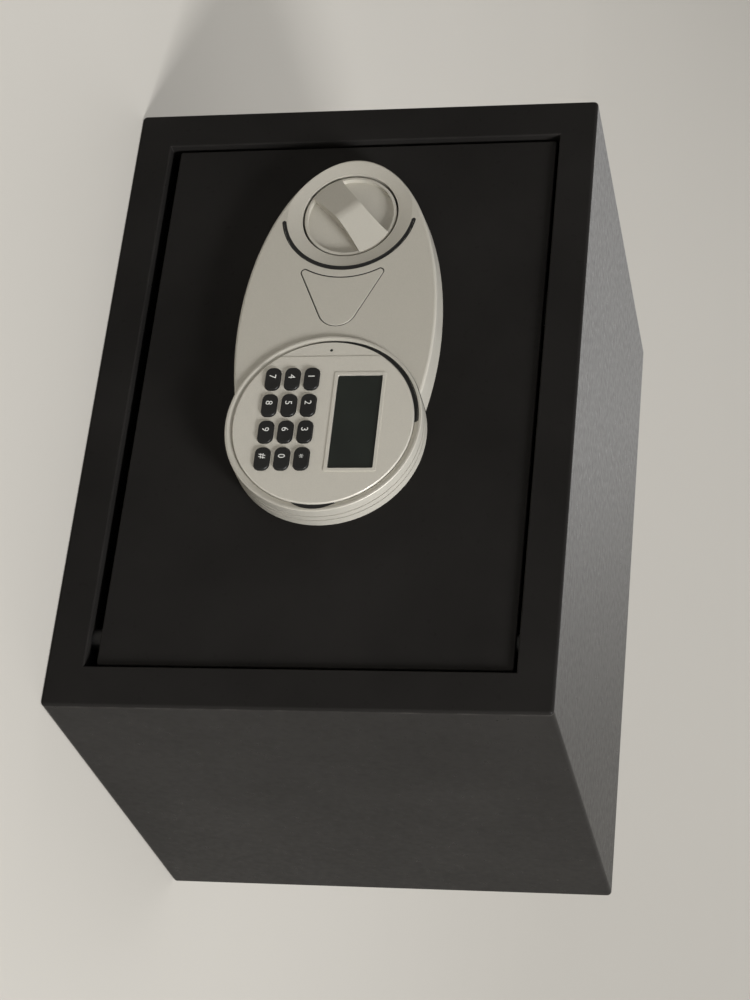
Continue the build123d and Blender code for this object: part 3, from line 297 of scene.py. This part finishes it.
FINISHES = {
    "black_powder_coat": powder_coat(),
    "silver_plastic": silver_paint("silver_plastic", dark=(0.430, 0.410, 0.360), light=(0.490, 0.468, 0.412)),
    "black_plastic": moulded(
        "black_plastic", dark=(0.012, 0.012, 0.013), light=(0.020, 0.020, 0.021),
        rough=(0.46, 0.62), grain=1900.0, depth=0.00005),
    "black_key_plastic": moulded(
        "black_key_plastic", dark=(0.0050, 0.0050, 0.0050), light=(0.0085, 0.0085, 0.0085),
        rough=(0.34, 0.46), grain=2600.0, depth=0.00001, Specular_IOR_Level=0.3),
    "red_plastic": moulded(
        "red_plastic", dark=(0.42, 0.018, 0.014), light=(0.52, 0.030, 0.020),
        rough=(0.24, 0.34), grain=2400.0, depth=0.00001),
    "dark_acrylic": display_window(),
    "white_nylon": moulded(
        "white_nylon", dark=(0.66, 0.65, 0.60), light=(0.76, 0.75, 0.70),
        rough=(0.40, 0.52), grain=1400.0, depth=0.00002, Subsurface_Weight=0.1),
    "grey_silicone": moulded(
        "grey_silicone", dark=(0.16, 0.165, 0.17), light=(0.21, 0.215, 0.22),
        rough=(0.62, 0.74), grain=1100.0, depth=0.00003),
    "green_board": circuit_board(),
    "zinc_steel": plated(
        "zinc_steel", dark=(0.50, 0.51, 0.50), light=(0.66, 0.66, 0.63),
        rough=(0.26, 0.42), brush=(1.0, 1.0, 0.12), depth=0.00002),
    "nickel_plate": plated(
        "nickel_plate", dark=(0.58, 0.57, 0.53), light=(0.68, 0.67, 0.63),
        rough=(0.10, 0.22), brush=(0.10, 1.0, 1.0), depth=0.00001),
    "grey_felt": felt(),
    "cell_jacket": cell_film(),
    "grey_cable": moulded(
        "grey_cable", dark=(0.20, 0.20, 0.205), light=(0.27, 0.27, 0.275),
        rough=(0.42, 0.54), grain=1300.0, depth=0.00003),
}
OWN_FINISHES = {               # nodes that don't look like the rest of their material slot
    "keypad_face": silver_paint("silver_face", dark=(0.500, 0.478, 0.424), light=(0.565, 0.542, 0.482)),
    "hinge_spacers": FINISHES["black_key_plastic"],
}
for node_name, node_object in NODES.items():
    node_object.data.materials.clear()
    node_object.data.materials.append(OWN_FINISHES.get(node_name, FINISHES[SLOT_OF[node_name]]))


# ---------------------------------------------------------------- pieces made here
def mesh_from(bm, name):
    """The bmesh as mesh data of this name; the bmesh is freed."""
    mesh = bpy.data.meshes.new(name)
    bm.to_mesh(mesh)
    bm.free()
    return mesh


def new_piece(name, mesh_data, finish, body):
    """An object of the visual model with its finish and the body that carries it."""
    piece = bpy.data.objects.new(name, mesh_data)
    bpy.context.scene.collection.objects.link(piece)
    piece.data.materials.append(finish)
    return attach(piece, body)


def middle_of(node):
    low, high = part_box(node)
    return (low + high) / 2


FELT_STEP = 2.0 * MM           # spacing of the felt's grid
FELT_FUZZ = 0.14 * MM          # how far the top dips at most
ANCHOR_HOLES = ((-100.0 * MM, 30.0 * MM), (100.0 * MM, 30.0 * MM))
ANCHOR_HOLE_R = 9.0 * MM
RIM_BAND = (0.85, 1.12)        # grid points this near to a hole's rim, in radii, are moved onto it
HOLE_CUT = 0.97                # faces whose centre is nearer than this, in radii, are left out


def felt_mat():
    """The floor's felt: a fine grid with the anchor holes cut out and a fuzzy top."""
    low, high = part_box("floor_mat")
    columns = round((high.x - low.x) / FELT_STEP)
    rows = round((high.y - low.y) / FELT_STEP)
    bm = bmesh.new()

    def nudge(x, y):
        """Points near a hole move to its rim."""
        for cx, cy in ANCHOR_HOLES:
            gap = math.hypot(x - cx, y - cy)
            if ANCHOR_HOLE_R * RIM_BAND[0] < gap < ANCHOR_HOLE_R * RIM_BAND[1]:
                return cx + (x - cx) * ANCHOR_HOLE_R / gap, cy + (y - cy) * ANCHOR_HOLE_R / gap
        return x, y

    def sheet_at(z, fuzz):
        grid = []
        for i in range(columns + 1):
            for j in range(rows + 1):
                x, y = nudge(low.x + (high.x - low.x) * i / columns, low.y + (high.y - low.y) * j / rows)
                dip = fuzz * (0.5 + 0.5 * noise.noise(Vector((x, y, z)) * 260.0))
                grid.append(bm.verts.new((x, y, z - dip)))
        return grid

    def keep(corners):
        centre = sum((c.co for c in corners), Vector()) / len(corners)
        return all(
            math.hypot(centre.x - cx, centre.y - cy) > ANCHOR_HOLE_R * HOLE_CUT for cx, cy in ANCHOR_HOLES)

    top, bottom = sheet_at(high.z, FELT_FUZZ), sheet_at(low.z, 0.0)
    for grid, turned in ((top, False), (bottom, True)):
        for i in range(columns):
            for j in range(rows):
                at = i * (rows + 1) + j
                corners = [grid[at], grid[at + rows + 1], grid[at + rows + 2], grid[at + 1]]
                if keep(corners):
                    bm.faces.new(corners[::-1] if turned else corners)
    twin = dict(zip(top, bottom))
    for edge in [e for e in bm.edges if e.is_boundary and e.verts[0] in twin and e.verts[1] in twin]:
        a, b = edge.verts
        bm.faces.new((a, b, twin[b], twin[a]))
    bmesh.ops.delete(bm, geom=[v for v in bm.verts if not v.link_faces], context="VERTS")
    bmesh.ops.recalc_face_normals(bm, faces=bm.faces)
    piece = new_piece("felt_mat", mesh_from(bm, "felt_mat"), FINISHES["grey_felt"], "cabinet")
    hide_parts("floor_mat")


LEGENDS = {"star": "*", "hash": "#", **{str(digit): str(digit) for digit in range(10)}}
LEGEND_SIZE = 5.0 * MM         # text size; a digit is about 0.7 of it tall
LEGEND_SHIFT = -1.1 * MM       # legends sit left of their key's middle
LEGEND_THICK = 0.02 * MM


def key_legends():
    """Digits, star and hash as thin ink on each key's face."""
    ink = key_ink()
    for name, glyph in LEGENDS.items():
        key_front, key_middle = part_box("key_" + name)[0].y, middle_of("key_" + name)
        curve = bpy.data.curves.new("legend_curve", "FONT")
        curve.body = glyph
        curve.size = LEGEND_SIZE
        curve.align_x = "CENTER"
        curve.align_y = "CENTER"
        curve.extrude = LEGEND_THICK / 2
        flat = bpy.data.objects.new("legend_flat", curve)
        bpy.context.scene.collection.objects.link(flat)
        bpy.context.view_layer.update()
        mesh = bpy.data.meshes.new_from_object(flat.evaluated_get(bpy.context.evaluated_depsgraph_get()))
        mesh.name = "legend_" + name
        bpy.data.objects.remove(flat)
        xs = [v.co.x for v in mesh.vertices]
        ys = [v.co.y for v in mesh.vertices]
        middle = Vector(((min(xs) + max(xs)) / 2, (min(ys) + max(ys)) / 2))
        for v in mesh.vertices:
            x, up, out = v.co.x - middle.x, v.co.y - middle.y, v.co.z
            v.co = (key_middle.x + LEGEND_SHIFT + x, key_front - out, key_middle.z + up)
        new_piece("legend_" + name, mesh, ink, "key_" + name)


STRIP_DEPTH = 0.3 * MM
STRIP_COLUMNS = 12             # faces across a strip


def black_strip(name, rows, ring=False):
    """Rows of points across a front, given a back behind them, as one closed black piece of painted shade
    that rides the door.

    A ring's last row joins its first. The faces are made in a fixed order, so the mesh is the same each run.
    """
    bm = bmesh.new()
    front = [[bm.verts.new(point) for point in row] for row in rows]
    back = [[bm.verts.new((v.co.x, v.co.y + STRIP_DEPTH, v.co.z)) for v in row] for row in front]
    for i in range(len(rows) if ring else len(rows) - 1):
        follow = (i + 1) % len(rows)
        near, far, near_back, far_back = front[i], front[follow], back[i], back[follow]
        for j in range(len(near) - 1):
            bm.faces.new((near[j], near[j + 1], far[j + 1], far[j]))
            bm.faces.new((near_back[j], far_back[j], far_back[j + 1], near_back[j + 1]))
        bm.faces.new((near[0], far[0], far_back[0], near_back[0]))
        bm.faces.new((near[-1], near_back[-1], far_back[-1], far[-1]))
    if not ring:
        for row, row_back in ((front[0], back[0]), (front[-1], back[-1])):
            for j in range(len(row) - 1):
                bm.faces.new((row[j], row_back[j], row_back[j + 1], row[j + 1]))
    bmesh.ops.recalc_face_normals(bm, faces=bm.faces)
    new_piece(name, mesh_from(bm, name), FINISHES["black_key_plastic"], "door")


def crescent(name, centre, stations, level):
    """A black strip of painted shade that faces forward.

    It runs through stations of (angle, inner radius, outer radius) about a centre.
    level(angle, radius) is its Y.
    """
    rows = []
    for angle, inner_r, outer_r in stations:
        row = []
        for j in range(STRIP_COLUMNS + 1):
            r = inner_r + (outer_r - inner_r) * j / STRIP_COLUMNS
            row.append((centre.x + r * math.cos(angle), level(angle, r), centre.z + r * math.sin(angle)))
        rows.append(row)
    black_strip(name, rows)


def circle_edge(angle, off, off_angle, radius):
    """Distance at an angle to a circle whose centre is off the origin."""
    turn = angle - off_angle
    return off * math.cos(turn) + math.sqrt(radius * radius - (off * math.sin(turn)) ** 2)


GAP_EDGE = 0.05 * MM           # room between a strip and the walls beside it
GROOVE_R = 34.9 * MM           # outer radius of the CAD's arc groove
GROOVE_W = 2.4 * MM            # its width in the middle; it tapers towards its ends
GROOVE_HALF_ANGLE = math.radians(82.0)
GROOVE_SHADE_STEPS = 160
GROOVE_SHADE_HALF_ANGLE = math.radians(84.0)
GROOVE_SHADE_W = 2.3 * MM             # the painted shade keeps this width, so it laps the panel's face near the ends
SHADE_PROUD = 0.02 * MM        # the painted shade's edges stand this far in front of the panel
GROOVE_SHADE_DISH = 0.40 * MM         # depth of the hollow along the groove
GROOVE_SHADE_FADE = 2.0 * MM          # the hollow dies away over this length at each end


def groove_paint():
    """A black strip of painted shade in the arc groove beside the knob, hollow along the groove, with rounded
    ends.
    """
    panel_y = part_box("lock_escutcheon")[0].y
    groove_end_x = GROOVE_R * math.cos(GROOVE_HALF_ANGLE)

    def groove_inner(angle):
        """The groove's inner side is a circle that is off the knob's centre."""
        return circle_edge(angle, GROOVE_W / 2, math.pi, GROOVE_R - GROOVE_W / 2)

    def level(angle, r):
        inner_r = groove_inner(angle)
        side = (2 * r - inner_r - GROOVE_R) / (GROOVE_R - inner_r)
        fade = min(1.0, max(0.0, (r * math.cos(angle) - groove_end_x) / GROOVE_SHADE_FADE))
        return panel_y - SHADE_PROUD + GROOVE_SHADE_DISH * fade * max(0.0, 1 - side * side)

    stations = []
    for i in range(GROOVE_SHADE_STEPS + 1):
        angle = GROOVE_SHADE_HALF_ANGLE * (2 * i / GROOVE_SHADE_STEPS - 1)
        inner_r = groove_inner(angle)
        half = (max(GROOVE_R, inner_r + GROOVE_SHADE_W) - inner_r) / 2
        from_end = (GROOVE_SHADE_HALF_ANGLE - abs(angle)) * GROOVE_R
        rounded = math.sqrt(max(0.0, half * half - max(0.0, half - from_end) ** 2))
        reach = max(GAP_EDGE, rounded)
        stations.append((angle, inner_r + half - reach, inner_r + half + reach))
    crescent("groove_paint", middle_of("knob"), stations, level)


RING_IN, RING_OUT = 46.3 * MM, 48.75 * MM      # the radii between which the trim ring's face slopes
RING_DROP = 1.0 * MM                           # how far it slopes inwards
# A circle is (how far its centre is off the face's, in which direction, radius); a span is in degrees.
SLOT_CIRCLE = (1.5 * MM, math.radians(130.0), 46.5 * MM)       # outer side of the CAD's crescent gap
FACE_SHADE_CIRCLE = (2.0 * MM, math.radians(110.0), 46.5 * MM)       # outer side of the painted shade over it
FACE_SHADE_SPAN = (90.5, 213.0)
FACE_SHADE_DIP = 0.35 * MM
NOTCH_CIRCLE = (30.7 * MM, 0.0, 18.0 * MM)
NOTCH_SPAN = (-13.5, 13.5)
NOTCH_SUNK = 0.7 * MM
FACE_SHADE_STEPS = 96


def face_seals():
    """Painted shade as black sheets beside the keypad's face: a crescent over the gap that laps the trim
    ring, and one in the notch.
    """
    low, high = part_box("keypad_face")
    face_r = (high.x - low.x) / 2
    ring_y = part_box("keypad_trim_ring")[0].y

    def crescent_level(angle, r):
        on_ring = ring_y + RING_DROP * (RING_OUT - r) / (RING_OUT - RING_IN) - SHADE_PROUD
        slot_r = circle_edge(angle, *SLOT_CIRCLE)
        side = (2 * r - face_r - slot_r) / (slot_r - face_r)
        return on_ring + FACE_SHADE_DIP * max(0.0, 1 - side * side)

    def notch_level(angle, r):
        return ring_y + NOTCH_SUNK

    for name, (first, last), circle, level in (
            ("face_gap_painted_shade", FACE_SHADE_SPAN, FACE_SHADE_CIRCLE, crescent_level),
            ("notch_painted_shade", NOTCH_SPAN, NOTCH_CIRCLE, notch_level)):
        stations = []
        for i in range(FACE_SHADE_STEPS + 1):
            angle = math.radians(first + (last - first) * i / FACE_SHADE_STEPS)
            outer_r = circle_edge(angle, *circle) - GAP_EDGE
            if outer_r > face_r + 2 * GAP_EDGE:
                stations.append((angle, face_r + GAP_EDGE, outer_r))
        crescent(name, middle_of("keypad_face"), stations, level)


COVER_GAP = 0.6 * MM           # between the cover and the panel
COVER_EDGE_R = 0.3 * MM        # the cover's front edge is rounded, so its front face is this much smaller
COVER_SHADE_SUNK = 0.15 * MM
FLAT_TOL = 0.05 * MM           # how far from the foremost plane a face may be and still count as front


def outline_of(node):
    """The outline of a CAD node's front face: a loop of (x, z), counter-clockwise seen from the front."""
    mesh = NODES[node].data
    front_y = min(v.co.y for v in mesh.vertices)

    def point_at(index):
        co = mesh.vertices[index].co
        return round(co.x, 6), round(co.z, 6)

    count = {}
    for face in mesh.polygons:
        if all(mesh.vertices[i].co.y < front_y + FLAT_TOL for i in face.vertices):
            for i, j in face.edge_keys:
                side = frozenset((point_at(i), point_at(j)))
                count[side] = count.get(side, 0) + 1
    follow = {}
    for side, uses in count.items():
        if uses == 1 and len(side) == 2:
            a, b = side
            follow.setdefault(a, []).append(b)
            follow.setdefault(b, []).append(a)
    start = min(follow)
    loop, last = [start], None
    while True:
        onward = [point for point in follow[loop[-1]] if point != last]
        last = loop[-1]
        if onward[0] == start or len(loop) > len(follow):
            break
        loop.append(onward[0])
    area = sum(a[0] * b[1] - b[0] * a[1] for a, b in zip(loop, loop[1:] + loop[:1]))
    return loop if area > 0 else loop[::-1]


def cover_gap_seal():
    """Painted shade: a black strip just inside the narrow gap round the tapered cover."""
    loop = outline_of("key_cover")
    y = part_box("lock_escutcheon")[0].y + COVER_SHADE_SUNK
    reach = (COVER_EDGE_R + GAP_EDGE, COVER_EDGE_R + COVER_GAP - GAP_EDGE)
    rows = []
    for i, (x, z) in enumerate(loop):
        before, after = loop[i - 1], loop[(i + 1) % len(loop)]
        along = Vector((after[0] - before[0], after[1] - before[1])).normalized()
        out = Vector((along.y, -along.x))
        rows.append([(x + out.x * far, y, z + out.y * far) for far in reach])
    black_strip("cover_gap_seal", rows, ring=True)


felt_mat()
key_legends()
groove_paint()
face_seals()
cover_gap_seal()


# ---------------------------------------------------------------- studio
STAGE_COLOUR = (0.47, 0.448, 0.408)
STAGE_GLOW = 0.5               # share of the stage's colour that doesn't depend on the lamps where it is seen
STAGE_HALF = 6.0               # half of the backdrop's width, and how far the floor comes forward
WALL_Y, WALL_TOP = 2.2, 6.0
COVE_R, COVE_STEPS = 0.9, 24   # the curve from the floor into the wall
FILL_COLOUR, FILL_STRENGTH = (0.92, 0.93, 0.95), 0.16
LAMPS = (                      # name, place, what it points at, size, watts
    ("key", (1.75, -0.92, 1.95), (0.0, -0.1, 0.12), (0.6, 0.6), 104.0),
    ("overhead", (0.0, 0.6, 2.5), (0.0, 0.4, 0.0), (2.6, 2.6), 27.0),
    ("rear", (-0.95, 2.05, 1.18), (0.0, 0.0, 0.25), (2.4, 1.2), 15.5),
)
CAMERA_PLACE = (0.624, -1.176, 0.414)
CAMERA_LENS = 89.6             # mm


def seen_rays(tree):
    """1 for camera, glossy and transmission rays, 0 for the rays that light the object."""
    path = tree.nodes.new("ShaderNodeLightPath")
    seen = path.outputs["Is Camera Ray"]
    for kind in ("Is Glossy Ray", "Is Transmission Ray"):
        either = tree.nodes.new("ShaderNodeMath")
        either.operation = "MAXIMUM"
        tree.links.new(seen, either.inputs[0])
        tree.links.new(path.outputs[kind], either.inputs[1])
        seen = either.outputs[0]
    return seen


def stage_material():
    """Plain pale paper.

    Where it is seen, part of its colour is steady, so that it stays pale far from the lamps.
    """
    s = Shader("backdrop", Roughness=0.85)
    low, high = (tuple(channel * factor for channel in STAGE_COLOUR) for factor in (0.985, 1.0))
    paper = s.ramp(s.noise(3.0, 3.0), (0.3, low), (0.7, high))
    glow = s.maths("MULTIPLY", seen_rays(s.tree), STAGE_GLOW)
    s.colour(s.blend(glow, paper, (0.0, 0.0, 0.0)))
    s.link(paper, s.shader.inputs["Emission Color"])
    s.link(glow, s.shader.inputs["Emission Strength"])
    return s.material


def cyclorama():
    """A pale floor that curves up into a pale wall behind the safe."""
    line = [(-STAGE_HALF, 0.0), (WALL_Y - COVE_R, 0.0)]
    for i in range(1, COVE_STEPS + 1):
        a = math.radians(90 * i / COVE_STEPS)
        line.append((WALL_Y - COVE_R + COVE_R * math.sin(a), COVE_R - COVE_R * math.cos(a)))
    line.append((WALL_Y, WALL_TOP))
    bm = bmesh.new()
    left, right = ([bm.verts.new((x, y, z)) for y, z in line] for x in (-STAGE_HALF, STAGE_HALF))
    for i in range(len(line) - 1):
        bm.faces.new((left[i], right[i], right[i + 1], left[i + 1]))
    mesh = mesh_from(bm, "backdrop")
    for face in mesh.polygons:
        face.use_smooth = True
    backdrop = bpy.data.objects.new("backdrop", mesh)
    backdrop.data.materials.append(stage_material())
    bpy.context.scene.collection.objects.link(backdrop)


def area_light(name, place, target, size, watts):
    """A rectangular lamp at a place, turned to its target."""
    light = bpy.data.lights.new(name, "AREA")
    light.shape = "RECTANGLE"
    light.size, light.size_y = size
    light.energy = watts
    lamp = bpy.data.objects.new(name, light)
    lamp.location = place
    lamp.rotation_euler = (Vector(target) - Vector(place)).to_track_quat("-Z", "Y").to_euler()
    bpy.context.scene.collection.objects.link(lamp)


def studio_world():
    """Even, faintly cool fill that is seen as the colour of the stage."""
    world = bpy.data.worlds.new("studio")
    world.use_nodes = True
    tree = world.node_tree
    fill = tree.nodes["Background"]
    fill.inputs["Color"].default_value = (*FILL_COLOUR, 1.0)
    fill.inputs["Strength"].default_value = FILL_STRENGTH
    pale = tree.nodes.new("ShaderNodeBackground")
    pale.inputs["Color"].default_value = (*STAGE_COLOUR, 1.0)
    either = tree.nodes.new("ShaderNodeMixShader")
    tree.links.new(seen_rays(tree), either.inputs[0])
    tree.links.new(fill.outputs[0], either.inputs[1])
    tree.links.new(pale.outputs[0], either.inputs[2])
    tree.links.new(either.outputs[0], tree.nodes["World Output"].inputs["Surface"])
    bpy.context.scene.world = world


def camera():
    """The photograph's view, rolled a quarter turn, so that the safe's top is at the image's right."""
    low, high = (Vector(corner) for corner in CAD_BOX)
    place = Vector(CAMERA_PLACE)
    aim = (low + high) / 2
    ahead = (aim - place).normalized()
    right = ahead.cross(Vector((0.0, 0.0, 1.0))).normalized()
    up = right.cross(ahead)
    data = bpy.data.cameras.new("camera")
    data.lens = CAMERA_LENS
    data.clip_start, data.clip_end = 0.05, 50.0
    view = bpy.data.objects.new("camera", data)
    bpy.context.scene.collection.objects.link(view)
    turn = Matrix((up, -right, -ahead)).transposed().to_4x4()
    view.matrix_world = Matrix.Translation(place) @ turn
    bpy.context.scene.camera = view


cyclorama()
for lamp in LAMPS:
    area_light(*lamp)
camera()
studio_world()
bpy.context.scene.view_settings.view_transform = "Standard"
